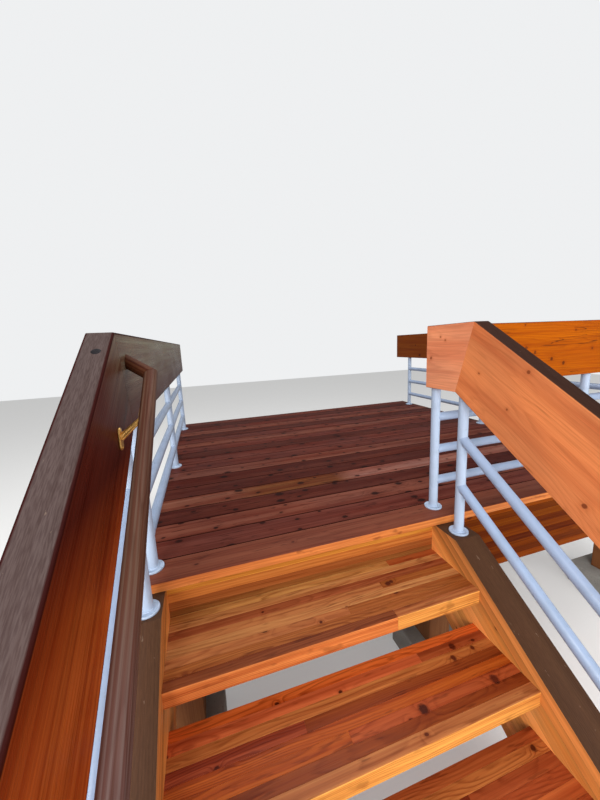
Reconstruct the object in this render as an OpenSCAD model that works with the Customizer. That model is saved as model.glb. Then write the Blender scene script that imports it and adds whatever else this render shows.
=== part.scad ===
// Timber entrance deck with an open flight of stairs.
// Laminated beams carry the deck and the flight. The guards are heavy timber rails on painted steel pipes.
// The origin is on the ground, under the middle of the whole structure. +Y points to the house, +X to the right.

/* [Deck] */
// Width of the deck from side to side
deck_w = 3000; // [2600:10:3600]
// Depth of the deck from its front edge to the house
deck_depth = 2672; // [2200:2:3200]
// Thickness of the deck boards
board_t = 38; // [25:1:50]
// Number of deck boards from front to back
board_count = 19; // [14:1:24]
// Gap between two deck boards
board_gap = 2; // [1:0.5:6]
// Overhang of the deck's front board and of each tread
nosing = 25; // [10:1:40]
// Radius of the eased front edges
edge_r = 5; // [2:1:12]

/* [Beams under the deck] */
// Thickness of the laminated beams and the stringers
beam_t = 130; // [90:1:160]
// Height of the laminated beams round the deck
beam_h = 343; // [240:1:400]
// Thickness of a floor joist
joist_t = 38; // [35:1:60]
// Height of a floor joist
joist_h = 235; // [140:1:240]
// Number of floor joists
joist_count = 6; // [4:1:9]
// Side of the square support posts
prop_w = 130; // [90:1:150]
// Side of the square pier blocks
pier_w = 300; // [200:10:360]
// Height of the pier blocks above the ground
pier_h = 150; // [60:10:200]

/* [Flight] */
// Height of one riser
riser = 178; // [160:1:190]
// Going of one step
going = 267; // [250:1:300]
// Clear width between the stringers
stair_w = 1220; // [900:10:1400]
// Thickness of the treads
tread_t = 60; // [40:1:80]
// Depth of the housings that the treads sit in
housing = 12; // [5:1:25]
// Depth of a stringer, square to its slope
stringer_h = 381; // [340:1:420]
// Length of the level seat at the top of a stringer
seat_l = 154; // [140:1:200]
// How far a stringer's foot stands out in front of the lowest tread
foot_out = 77; // [60:1:160]

/* [Timber rails] */
// Thickness of the rails
rail_t = 72; // [60:1:90]
// Height of the rails, square to their length
rail_h = 293; // [200:1:300]
// Radius of the eased edges along the rails
rail_r = 4; // [2:1:8]
// Distance of the left rails' centre line inside the middle of the left stringer
left_rail_in = 14; // [0:1:20]
// Height of the guard's top over the deck
guard_h = 914; // [860:1:1100]
// Distance of the rail's knee in front of the deck edge
knee_out = 146; // [120:1:200]
// Length of the right rail's level head behind the deck edge
head_l = 131; // [125:1:160]
// Distance of the outer guards' centre line from the deck's side
guard_inset = 65; // [55:1:90]

/* [Steel pipes] */
// Outer diameter of the posts
post_d = 42.2; // [42.2:0.1:60]
// Outer diameter of the pipes between the posts
pipe_d = 42; // [33:0.1:42]
// Diameter of the base flanges
flange_d = 84; // [76:1:100]
// Thickness of the base flanges
flange_t = 8; // [6:1:12]
// Bevel round the upper edge of the base flanges
flange_bevel = 2; // [1:0.5:3]
// Distance of the guard posts behind the deck edge
post_back = 101; // [90:1:120]
// Distance of the upper stair posts in front of the deck edge
post_front = 75; // [74:1:80]
// Distance of the lower stair posts from the end of the rail
post_foot = 120; // [80:1:200]
// Distance of the last guard posts from the house
post_house = 239; // [120:1:400]
// Distance between the first two posts of the front guard
post_bay = 1027; // [700:1:1100]
// Height of the lowest guard pipe over the deck
pipe_low = 144; // [100:1:160]
// Distance from one guard pipe to the next
pipe_pitch = 165; // [120:1:170]
// Height of the lower stair pipe over the stringer
stair_pipe_low = 193; // [140:1:220]
// Distance from one stair pipe to the next, measured upright
stair_pipe_pitch = 222; // [150:1:235]

/* [Handrail] */
// Width of the handrail
grip_w = 38; // [36:1:48]
// Height of the handrail
grip_h = 38; // [36:1:50]
// Radius of the handrail's edges
grip_r = 15; // [6:1:17]
// Distance of the handrail's centre from the face of the rail
grip_out = 75; // [60:1:90]
// Distance of the handrail's centre under the rail's top, measured upright
grip_drop = 155; // [130:1:200]
// Distance of the handrail's corner in front of the deck edge
grip_corner = 105; // [60:1:140]
// Distance of the handrail's lower end from the plumb end of the rail
grip_end = 40; // [20:1:120]
// Angle of the return at the handrail's top
return_angle = 45; // [30:1:60]
// Distance of the upper bracket in front of the deck edge
bracket_out = 245; // [200:1:400]
// Distance from one bracket to the next
bracket_pitch = 667; // [400:1:700]
// Height of a bracket's wall plate
plate_h = 62; // [50:1:70]
// Width of a bracket's wall plate
plate_w = 28; // [26:1:40]
// Thickness of a bracket's wall plate
plate_t = 5; // [3:1:8]
// Diameter of a bracket's arm at the wall plate
arm_foot_d = 20; // [16:1:24]
// Diameter of a bracket's arm at the handrail
arm_d = 11; // [8:1:14]
// Distance of the wall plate's centre under the handrail's centre
plate_drop = 64; // [40:1:70]
// Length of a bracket's cradle along the handrail
cradle_l = 56; // [40:1:80]
// Reach of a bracket's cradle under the handrail
cradle_w = 30; // [24:1:40]
// Thickness of a bracket's cradle
cradle_t = 3; // [2:1:5]

/* [Hidden] */

// Number of treads below the deck
tread_count = 4;
deck_z = (tread_count + 1) * riser;
slope = riser / going;
pitch = atan(slope);
// Reach of the cutting blocks, longer than any piece
far = 5000;

// Sides of the deck, with the middle of the flight at zero
stringer_x = (stair_w + beam_t) / 2;
deck_left = -stringer_x - beam_t / 2;
deck_right = deck_left + deck_w;
right_guard_x = deck_right - guard_inset;
// Levels under the deck
frame_top = deck_z - board_t;
beam_bottom = frame_top - beam_h;
// Middles of the supports from side to side
support_xs = [deck_left + pier_w / 2, stringer_x, deck_right - pier_w / 2];
// Distances behind the deck edge
rim_front = nosing;
rim_back = nosing + beam_t;
foot_y = -tread_count * going - foot_out;
board_pitch = (deck_depth + board_gap) / board_count;
board_w = board_pitch - board_gap;
// Middle of the whole structure
middle_x = (deck_left + deck_right) / 2;
middle_y = (foot_y + deck_depth) / 2;
// Rails
left_rail_x = left_rail_in - stringer_x;
left_rail_face = left_rail_x + rail_t / 2;
guard_top = deck_z + guard_h;
guard_bottom = guard_top - rail_h;
rail_drop = rail_h / cos(pitch);
knee_back = rail_h * tan(pitch / 2);
stringer_drop = stringer_h / cos(pitch);
seat_y = rim_front - seat_l;
// Posts
front_post_xs = [stringer_x, stringer_x + post_bay, right_guard_x];
side_post_ys = [(post_back + deck_depth - post_house) / 2, deck_depth - post_house];
left_post_ys = concat([post_back], side_post_ys);
lower_post_y = foot_y + post_foot;
guard_pipe_zs = [for (i = [0:2]) deck_z + pipe_low + i * pipe_pitch];
grip_x = left_rail_face + grip_out;
bracket_ys = [for (i = [0:1]) -bracket_out - i * bracket_pitch];

// Centre line of the stair rail on one side
function rail_x(side) = side < 0 ? left_rail_x : stringer_x;
// Height of a stringer's top edge at distance y behind the deck edge
function stringer_top(y) = frame_top + min(y - seat_y, 0) * slope;
// Height of the sloped rails' top at distance y behind the deck edge
function rail_top(y) = guard_top + (y + knee_out) * slope;
// Height of the handrail's centre line at distance y behind the deck edge
function grip_z(y) = rail_top(y) - grip_drop;

// Moves the flight's middle and the deck edge to the origin under the middle of the structure
module placed() {
    translate([-middle_x, -middle_y, 0])
    children();
}

// Extrudes a side view, drawn with Y across and Z up, over thickness t centred on x
module side_view(x, t) {
    translate([x - t / 2, 0, 0])
    rotate([90, 0, 90])
    linear_extrude(t)
    children();
}

// Block between two corners
module block(low, high) {
    translate(low)
    cube(high - low);
}

// Side view of a plank from its front edge y to depth d, with the upper front edge eased
module plank_profile(y, z, d, t) {
    difference() {
        translate([y, z - t])
        square([d, t]);
        difference() {
            translate([y - 1, z - edge_r])
            square([edge_r + 1, edge_r + 1]);
            translate([y + edge_r, z - edge_r])
            circle(edge_r, $fn = 32);
        }
    }
}

// Boards behind the front board
module deck_boards() {
    color("#7a3f2c")
    placed()
    for (i = [1:board_count - 1])
        block([deck_left, i * board_pitch, frame_top], [deck_right, i * board_pitch + board_w, deck_z]);
}

// Front board, which stands out over the rim beam
module nosing_board() {
    color("#a5522c")
    placed()
    side_view(middle_x, deck_w)
    plank_profile(0, deck_z, board_w, board_t);
}

// Laminated beam across the deck, with its front face at distance y
module cross_beam(y) {
    color("#a8622c")
    placed()
    block([deck_left, y, beam_bottom], [deck_right, y + beam_t, frame_top]);
}

// Laminated beam along one side of the deck
module side_beam(x) {
    color("#a8622c")
    placed()
    block([x - beam_t / 2, rim_back, beam_bottom], [x + beam_t / 2, deck_depth - beam_t, frame_top]);
}

// Joists between the front and the rear beam
module floor_joists() {
    left = deck_left + beam_t;
    joist_pitch = (deck_w - 2 * beam_t) / (joist_count + 1);
    color("#8a6a48")
    placed()
    for (i = [1:joist_count]) {
        x = left + i * joist_pitch - joist_t / 2;
        block([x, rim_back, frame_top - joist_h], [x + joist_t, deck_depth - beam_t, frame_top]);
    }
}

// Square uprights on both rows of supports, with their middles at the distances ys behind the deck edge
module supports(ys, width, low, high) {
    placed()
    for (x = support_xs)
        for (y = ys)
            block([x - width / 2, y - width / 2, low], [x + width / 2, y + width / 2, high]);
}

// Posts under the middle of both cross beams
module support_posts() {
    color("#8a6a48")
    supports([rim_front + beam_t / 2, deck_depth - beam_t / 2], prop_w, pier_h, beam_bottom);
}

// Blocks under the posts, the rear ones flush with the house side
module pier_blocks() {
    color("#9a9a96")
    supports([rim_front + beam_t / 2, deck_depth - pier_w / 2], pier_w, 0, pier_h);
}

// Side view of a stringer: level seat at the top, sloped edge, plumb toe and level foot
module stringer_profile() {
    bottom = frame_top - stringer_drop;
    heel_y = seat_y - bottom / slope;
    polygon([
        [rim_front, frame_top],
        [seat_y, frame_top],
        [foot_y, stringer_top(foot_y)],
        [foot_y, 0],
        [heel_y, 0],
        [rim_front, bottom + (rim_front - seat_y) * slope]
    ]);
}

// Stringer with housings for the treads; side is -1 for the left and 1 for the right
module stringer(side) {
    color("#9c5a2e")
    placed()
    difference() {
        side_view(side * stringer_x, beam_t)
        stringer_profile();
        for (i = [1:tread_count])
            tread_blank(i);
    }
}

// Tread i, counted from the top, with both ends in the stringers
module tread_blank(i) {
    side_view(0, stair_w + 2 * housing)
    plank_profile(-i * going, deck_z - i * riser, going + nosing, tread_t);
}

module tread(i) {
    color("#b8783a")
    placed()
    tread_blank(i);
}

// Rectangle round the origin with round corners of radius r
module eased_rect(w, h, r, faces) {
    square([w, h - 2 * r], center = true);
    square([w - 2 * r, h], center = true);
    for (x = [-1, 1])
        for (y = [-1, 1])
            translate([x * (w / 2 - r), y * (h / 2 - r)])
            circle(r, $fn = faces);
}

// Bar of rail timber that ends at distance y with its top at height z and runs the length l towards the front
module rail_bar(x, y, z, l) {
    translate([x, y, z - rail_h / 2])
    rotate([90, 0, 0])
    linear_extrude(l)
    eased_rect(rail_t, rail_h, rail_r, 16);
}

// Half space behind (side 1) or in front (side -1) of the mitre at the knee
module knee_cut(side) {
    translate([0, -knee_out, guard_top])
    rotate([pitch / 2, 0, 0])
    translate([-far / 2, side > 0 ? 0 : -far, -far / 2])
    cube(far);
}

// Sloped rail: mitred to the level rail at the knee, cut plumb at the foot
module stair_rail(side) {
    run = -knee_out - foot_y;
    color(side < 0 ? "#6e3524" : "#c87848")
    placed()
    difference() {
        translate([0, -knee_out, guard_top])
        rotate([pitch, 0, 0])
        rail_bar(rail_x(side), rail_h, 0, 2 * rail_h + run / cos(pitch));
        knee_cut(1);
        block([-far, -far, -far], [far, foot_y, far]);
    }
}

// Level rail from the mitre at the knee to distance y
module level_rail(x, y) {
    placed()
    difference() {
        rail_bar(x, y, guard_top, y + knee_out + rail_t);
        knee_cut(-1);
    }
}

module right_rail_head() {
    color("#c87848")
    level_rail(stringer_x, head_l);
}

module left_guard_beam() {
    color("#5a4438")
    level_rail(left_rail_x, deck_depth);
}

// Front guard beam, from the head of the stair rail to the deck's corner
module front_guard_beam() {
    left = stringer_x + rail_t / 2;
    right = right_guard_x + rail_t / 2;
    color("#c4742c")
    placed()
    translate([right, post_back, 0])
    rotate([0, 0, -90])
    rail_bar(0, 0, guard_top, right - left);
}

module right_guard_beam() {
    front = post_back + rail_t / 2;
    color("#8c4a2c")
    placed()
    rail_bar(right_guard_x, deck_depth, guard_top, deck_depth - front);
}

// Upright pipe through all heights, as a solid and as a cutter
module upright(x, y) {
    translate([x, y, 0])
    cylinder(d = post_d, h = guard_top, $fn = 48);
}

// Two posts of one stair rail, cut to the stringer below and to the rail above
module stair_posts(side) {
    color("#c3cad2")
    placed()
    for (y = [-post_front, lower_post_y])
        difference() {
            upright(rail_x(side), y);
            side_view(side * stringer_x, beam_t)
            stringer_profile();
            side_view(side * stringer_x, beam_t)
            polygon([
                [far, guard_bottom],
                [knee_back - knee_out, guard_bottom],
                [foot_y, rail_top(foot_y) - rail_drop],
                [foot_y, far],
                [far, far]
            ]);
            block([-far, -far, -far], [far, far, stringer_top(y) - post_d * slope]);
        }
}

// Upright posts between the deck and the guard beam
module guard_posts(places) {
    color("#c3cad2")
    placed()
    for (p = places)
        translate([p.x, p.y, deck_z])
        cylinder(d = post_d, h = guard_bottom - deck_z, $fn = 48);
}

// Turned flange ring with a bevelled rim round the foot of a post at height z, tilted by an angle
module flange(x, y, z, tilt) {
    difference() {
        translate([x, y, z])
        rotate([tilt, 0, 0])
        rotate_extrude($fn = 64)
        polygon([
            [0, 0],
            [flange_d / 2, 0],
            [flange_d / 2, flange_t - flange_bevel],
            [flange_d / 2 - flange_bevel, flange_t],
            [0, flange_t]
        ]);
        upright(x, y);
    }
}

module stair_flanges(side) {
    color("#c3cad2")
    placed() {
        flange(rail_x(side), -post_front, frame_top, 0);
        flange(rail_x(side), lower_post_y, stringer_top(lower_post_y), pitch);
    }
}

module guard_flanges(places) {
    color("#c3cad2")
    placed()
    for (p = places)
        flange(p.x, p.y, deck_z, 0);
}

// Sloped pipes between the two posts of one stair rail, coped to both
module stair_pipes(side) {
    x = rail_x(side);
    run = -post_front - lower_post_y;
    color("#c3cad2")
    placed()
    for (i = [0:1]) {
        z = frame_top + (-post_front - seat_y) * slope + stair_pipe_low + i * stair_pipe_pitch;
        difference() {
            translate([x, -post_front, z])
            rotate([90 + pitch, 0, 0])
            cylinder(d = pipe_d, h = run / cos(pitch), $fn = 48);
            upright(x, -post_front);
            upright(x, lower_post_y);
        }
    }
}

// Level pipes between neighbouring posts, coped to both, for posts along X or along Y
module guard_pipes(places) {
    color("#c3cad2")
    placed()
    for (i = [1:len(places) - 1]) {
        a = places[i - 1];
        b = places[i];
        for (z = guard_pipe_zs)
            difference() {
                translate([a.x, a.y, z])
                rotate([0, 90, atan2(b.y - a.y, b.x - a.x)])
                cylinder(d = pipe_d, h = norm(b - a), $fn = 48);
                upright(a.x, a.y);
                upright(b.x, b.y);
            }
    }
}

// Places of the posts of each guard
front_places = [for (x = front_post_xs) [x, post_back]];
left_places = [for (y = left_post_ys) [left_rail_x, y]];
right_places = [for (y = left_post_ys) [right_guard_x, y]];
right_own_places = [for (y = side_post_ys) [right_guard_x, y]];

// Section of the handrail, with all four edges round
module grip_profile() {
    eased_rect(grip_w, grip_h, grip_r, 32);
}

// Puts what follows in the plane of the handrail, with its corner at zero and +Y up the slope
module at_grip_corner() {
    translate([grip_x, -grip_corner, grip_z(-grip_corner)])
    rotate([pitch, 0, 0])
    children();
}

// Half space on one side of the handrail's mitre
module mitre_cut(side) {
    rotate([0, 0, return_angle / 2])
    translate([-far / 2, side > 0 ? 0 : -far, -far / 2])
    cube(far);
}

module handrail() {
    run = -grip_corner - foot_y - grip_end;
    color("#4a3428")
    placed()
    at_grip_corner()
    difference() {
        translate([0, grip_w, 0])
        rotate([90, 0, 0])
        linear_extrude(grip_w + run / cos(pitch))
        grip_profile();
        mitre_cut(1);
    }
}

// Mitred return from the handrail's corner to the face of the rail
module handrail_return() {
    color("#4a3428")
    placed()
    difference() {
        at_grip_corner()
        difference() {
            rotate([0, 0, return_angle])
            translate([0, -grip_w, 0])
            rotate([-90, 0, 0])
            linear_extrude(grip_w + 2 * grip_out)
            grip_profile();
            mitre_cut(-1);
        }
        block([-far, -far, 0], [left_rail_face, far, far]);
    }
}

// Oblong wall plates with a tapered arm that rises to the corner of the handrail, and a cradle under that corner
module handrail_brackets() {
    arm_rise = atan2(plate_drop, grip_out);
    arm_l = norm([plate_drop, grip_out]);
    cradle_h = grip_r + cradle_t;
    color("#b08a3c")
    placed()
    for (y = bracket_ys)
        difference() {
            union() {
                translate([left_rail_face, y, grip_z(y) - plate_drop]) {
                    rotate([90, 0, 90])
                    linear_extrude(plate_t) {
                        square([plate_w, plate_h - plate_w], center = true);
                        for (z = [-1, 1])
                            translate([0, z * (plate_h - plate_w) / 2])
                            circle(d = plate_w, $fn = 32);
                    }
                    rotate([0, 90 - arm_rise, 0])
                    cylinder(d1 = arm_foot_d, d2 = arm_d, h = arm_l, $fn = 32);
                }
                translate([grip_x, y, grip_z(y)])
                rotate([90 + pitch, 0, 0])
                linear_extrude(cradle_l, center = true)
                intersection() {
                    eased_rect(grip_w + 2 * cradle_t, grip_h + 2 * cradle_t, grip_r + cradle_t, 32);
                    translate([-grip_w / 2 - cradle_t, -grip_h / 2 - cradle_t])
                    square([cradle_w, cradle_h]);
                }
            }
            block([-far, -far, 0], [left_rail_face, far, far]);
            at_grip_corner()
            rotate([90, 0, 0])
            linear_extrude(far, center = true)
            grip_profile();
        }
}

deck_boards();
nosing_board();
cross_beam(rim_front);  // front_rim_beam
cross_beam(deck_depth - beam_t);  // rear_rim_beam
side_beam(deck_left + beam_t / 2);  // left_rim_beam
side_beam(deck_right - beam_t / 2);  // right_rim_beam
floor_joists();
support_posts();
pier_blocks();
stringer(-1);  // left_stringer
stringer(1);  // right_stringer
tread(1);  // tread_1
tread(2);  // tread_2
tread(3);  // tread_3
tread(4);  // tread_4
stair_rail(-1);  // left_stair_rail
stair_rail(1);  // right_stair_rail
right_rail_head();
left_guard_beam();
front_guard_beam();
right_guard_beam();
stair_posts(-1);  // left_stair_posts
stair_posts(1);  // right_stair_posts
guard_posts(left_places);  // left_guard_posts
guard_posts(front_places);  // front_guard_posts
guard_posts(right_own_places);  // right_guard_posts
stair_flanges(-1);  // left_stair_flanges
stair_flanges(1);  // right_stair_flanges
guard_flanges(left_places);  // left_guard_flanges
guard_flanges(front_places);  // front_guard_flanges
guard_flanges(right_own_places);  // right_guard_flanges
stair_pipes(-1);  // left_stair_pipes
stair_pipes(1);  // right_stair_pipes
guard_pipes(left_places);  // left_guard_pipes
guard_pipes(front_places);  // front_guard_pipes
guard_pipes(right_places);  // right_guard_pipes
handrail();
handrail_return();
handrail_brackets();
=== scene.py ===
import random
from math import atan, cos, exp, hypot, pi, radians, remainder, sin, sqrt, tan

import bmesh
import bpy
from mathutils import Matrix, Vector


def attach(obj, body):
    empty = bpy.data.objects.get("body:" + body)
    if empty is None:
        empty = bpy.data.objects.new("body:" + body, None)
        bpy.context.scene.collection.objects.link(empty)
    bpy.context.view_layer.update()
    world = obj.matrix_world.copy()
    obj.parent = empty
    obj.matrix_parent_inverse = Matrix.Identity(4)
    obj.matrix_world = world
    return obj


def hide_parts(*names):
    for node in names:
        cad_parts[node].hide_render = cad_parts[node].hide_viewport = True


# Looks of the wooden deck stairs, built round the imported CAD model.
# Lengths are in metres. Pieces are drawn in the deck's own frame: x from the middle of the flight,
# y behind the deck's front edge, z over the ground. Piece.take moves them to the row frame by SHIFT.

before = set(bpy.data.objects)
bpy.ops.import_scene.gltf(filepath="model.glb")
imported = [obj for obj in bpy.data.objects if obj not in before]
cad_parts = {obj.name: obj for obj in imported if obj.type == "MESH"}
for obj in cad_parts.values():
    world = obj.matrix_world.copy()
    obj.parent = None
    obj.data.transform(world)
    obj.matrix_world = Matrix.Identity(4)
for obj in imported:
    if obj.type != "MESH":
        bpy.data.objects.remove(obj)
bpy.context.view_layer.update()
SHIFT = Vector((0.760, 0.7635, 0.0))

# Sizes that part.scad gives, first those of the deck
DECK_W = 3.000
DECK_DEPTH = 2.672
BOARD_T = 0.038
BOARD_COUNT = 19
BOARD_GAP = 0.002
NOSING = 0.025
EDGE_R = 0.005
BEAM_T = 0.130
BEAM_H = 0.343
JOIST_T = 0.038
JOIST_H = 0.235
JOIST_COUNT = 6
PROP_W = 0.130
PIER_W = 0.300
PIER_H = 0.150

# Sizes of the flight
RISER = 0.178
GOING = 0.267
STAIR_W = 1.220
TREAD_COUNT = 4
TREAD_T = 0.060
HOUSING = 0.012
STRINGER_H = 0.381
SEAT_L = 0.154
FOOT_OUT = 0.077

# Sizes of the timber rails
RAIL_T = 0.072
RAIL_H = 0.293
RAIL_R = 0.004
LEFT_RAIL_IN = 0.014
GUARD_H = 0.914
GUARD_INSET = 0.065
KNEE_OUT = 0.146
HEAD_L = 0.131

# Sizes of the posts, flanges and pipes
POST_R = 0.0211
PIPE_R = 0.0210
FLANGE_R = 0.042
FLANGE_T = 0.008
FLANGE_BEVEL = 0.002
POST_BACK = 0.101
POST_FRONT = 0.075
POST_FOOT = 0.120
POST_HOUSE = 0.239
POST_BAY = 1.027
PIPE_LOW = 0.144
PIPE_PITCH = 0.165
STAIR_PIPE_LOW = 0.193
STAIR_PIPE_PITCH = 0.222

# Sizes of the handrail and its brackets
GRIP_W = 0.038
GRIP_H = 0.038
GRIP_R = 0.015
GRIP_OUT = 0.075
GRIP_DROP = 0.155
GRIP_CORNER = 0.105
GRIP_END = 0.040
RETURN_ANGLE = radians(45)
BRACKET_OUT = 0.245
BRACKET_PITCH = 0.667
PLATE_DROP = 0.064
PLATE_H = 0.062
PLATE_W = 0.028
PLATE_T = 0.005
ARM_FOOT_R = 0.010
ARM_R = 0.0055
CRADLE_L = 0.056
CRADLE_W = 0.030
CRADLE_T = 0.003

# Places that follow from the sizes
DECK_Z = (TREAD_COUNT + 1) * RISER
SLOPE = RISER / GOING
PITCH = atan(SLOPE)
STRINGER_X = (STAIR_W + BEAM_T) / 2
DECK_LEFT = -STRINGER_X - BEAM_T / 2
DECK_RIGHT = DECK_LEFT + DECK_W
GUARD_X = DECK_RIGHT - GUARD_INSET
FRAME_TOP = DECK_Z - BOARD_T
BEAM_BOTTOM = FRAME_TOP - BEAM_H
BEAM_BACK = NOSING + BEAM_T
REAR_BEAM_Y = DECK_DEPTH - BEAM_T
FOOT_Y = -TREAD_COUNT * GOING - FOOT_OUT
BOARD_PITCH = (DECK_DEPTH + BOARD_GAP) / BOARD_COUNT
BOARD_W = BOARD_PITCH - BOARD_GAP
GUARD_TOP = DECK_Z + GUARD_H
GUARD_BOTTOM = GUARD_TOP - RAIL_H
RAIL_DROP = RAIL_H / cos(PITCH)
# Under the knee, where a rail's underside bends
KNEE_Y = RAIL_H * tan(PITCH / 2) - KNEE_OUT
STRINGER_DROP = STRINGER_H / cos(PITCH)
SEAT_Y = NOSING - SEAT_L
LOWER_POST_Y = FOOT_Y + POST_FOOT
SIDE_POST_YS = [POST_BACK, (POST_BACK + DECK_DEPTH - POST_HOUSE) / 2, DECK_DEPTH - POST_HOUSE]
FRONT_POST_XS = [STRINGER_X, STRINGER_X + POST_BAY, GUARD_X]
LEFT_RAIL_X = LEFT_RAIL_IN - STRINGER_X
LEFT_FACE = LEFT_RAIL_X + RAIL_T / 2
GRIP_X = LEFT_FACE + GRIP_OUT
UP_SLOPE = Vector((0, cos(PITCH), sin(PITCH)))
OFF_SLOPE = Vector((0, -sin(PITCH), cos(PITCH)))
X, Y, Z = Vector((1, 0, 0)), Vector((0, 1, 0)), Vector((0, 0, 1))


def stringer_top(y):
    return FRAME_TOP + min(y - SEAT_Y, 0) * SLOPE


def rail_top(y):
    return GUARD_TOP + (y + KNEE_OUT) * SLOPE


def rail_under(y):
    """Underside of a rail, which is level behind the knee."""
    return GUARD_BOTTOM if y > KNEE_Y else rail_top(y) - RAIL_DROP


def grip_z(y):
    return rail_top(y) - GRIP_DROP


def between(value, start, end):
    """How far a value is on the way from start to end, from 0 to 1."""
    return min(max((value - start) / (end - start), 0.0), 1.0)


def linear(code):
    """Linear RGB of a colour code."""
    parts = [int(code[i:i + 2], 16) / 255 for i in (0, 2, 4)]
    return tuple(p / 12.92 if p <= 0.04045 else ((p + 0.055) / 1.055) ** 2.4 for p in parts)


def fade(a, b, share):
    """Colour between the two codes a and b."""
    return tuple(p + (q - p) * share for p, q in zip(linear(a), linear(b)))


def jitter(draw, code, amount=0.12):
    """The code's colour a little lighter or darker, and a little warmer or cooler."""
    value = 1 + draw.uniform(-amount, amount)
    warm = draw.uniform(-amount, amount) * 0.4
    factors = (1 + warm * 0.3, 1 - warm * 0.5, 1 - warm)
    return tuple(part * value * factor for part, factor in zip(linear(code), factors))


def placed(name, data):
    """New object in the scene."""
    made = bpy.data.objects.new(name, data)
    bpy.context.scene.collection.objects.link(made)
    return made


# Node graphs

class Graph:
    """Short ways to write a material's nodes."""

    def __init__(self, name):
        self.material = bpy.data.materials.new(name)
        self.material.use_nodes = True
        self.tree = self.material.node_tree
        self.shader = self.tree.nodes["Principled BSDF"]

    def node(self, kind, inputs=(), **settings):
        made = self.tree.nodes.new(kind)
        for key, value in settings.items():
            setattr(made, key, value)
        for key, value in dict(inputs).items():
            self.feed(made.inputs[key], value)
        return made

    def feed(self, socket, value):
        if isinstance(value, bpy.types.NodeSocket):
            self.tree.links.new(value, socket)
        else:
            if socket.type == "RGBA" and len(value) == 3:
                value = (*value, 1.0)
            socket.default_value = value

    def math(self, operation, *values):
        return self.node("ShaderNodeMath", enumerate(values), operation=operation).outputs[0]

    def times(self, a, b):
        return self.math("MULTIPLY", a, b)

    def plus(self, base, value, factor):
        """base and factor times value."""
        return self.math("MULTIPLY_ADD", value, factor, base)

    def sway(self, base, value, factor):
        """base moved up or down by a value that lies round 0.5."""
        return self.plus(base, self.math("SUBTRACT", value, 0.5), factor)

    def length(self, a, b):
        return self.math("SQRT", self.math("ADD", self.times(a, a), self.times(b, b)))

    def vector(self, x, y, z):
        return self.node("ShaderNodeCombineXYZ", {"X": x, "Y": y, "Z": z}).outputs[0]

    def split(self, vector):
        return tuple(self.node("ShaderNodeSeparateXYZ", {"Vector": vector}).outputs)

    def attribute(self, name, output):
        return self.node("ShaderNodeAttribute", attribute_name=name).outputs[output]

    def place(self):
        return self.node("ShaderNodeTexCoord").outputs["Object"]

    def noise(self, vector, scale=1.0, detail=2.0, roughness=0.5, output=0):
        inputs = {"Vector": vector, "Scale": scale, "Detail": detail, "Roughness": roughness}
        return self.node("ShaderNodeTexNoise", inputs).outputs[output]

    def span(self, value, low, high, to_low=0.0, to_high=1.0, smooth=False):
        """Range from low to high turned into the one from to_low to to_high."""
        inputs = {"Value": value, "From Min": low, "From Max": high, "To Min": to_low, "To Max": to_high}
        kind = "SMOOTHSTEP" if smooth else "LINEAR"
        return self.node("ShaderNodeMapRange", inputs, interpolation_type=kind).outputs["Result"]

    def ramp(self, value, stops):
        made = self.node("ShaderNodeValToRGB", {"Fac": value})
        points = made.color_ramp.elements
        while len(points) < len(stops):
            points.new(0.5)
        for point, (place, level) in zip(points, stops):
            point.position = place
            point.color = (level, level, level, 1.0)
        return made.outputs["Color"]

    def mix(self, share, a, b, blend="MIX"):
        made = self.node("ShaderNodeMix", data_type="RGBA", blend_type=blend)
        for index, value in ((0, share), (6, a), (7, b)):
            self.feed(made.inputs[index], value)
        return made.outputs[2]

    def toned(self, colour, factors, mask, share=1.0, base=None):
        """colour that turns, where the mask shows, to itself or to base times factors."""
        other = self.mix(1.0, colour if base is None else base, factors, "MULTIPLY")
        return self.mix(self.times(mask, share), colour, other)

    def finished(self, colour, roughness, height, relief, levels=()):
        """The material. levels are constants of the shader's other sockets."""
        bump = self.node("ShaderNodeBump", {"Height": height, "Distance": relief, "Strength": 1.0})
        inputs = {"Base Color": colour, "Roughness": roughness, "Normal": bump.outputs[0]}
        for key, value in {**inputs, **dict(levels)}.items():
            self.feed(self.shader.inputs[key], value)
        return self.material


# Factors for a colour
DARKER, REDDER, PALER = (0.60, 0.42, 0.34), (0.70, 0.47, 0.42), (1.28, 1.26, 1.15)


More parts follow.
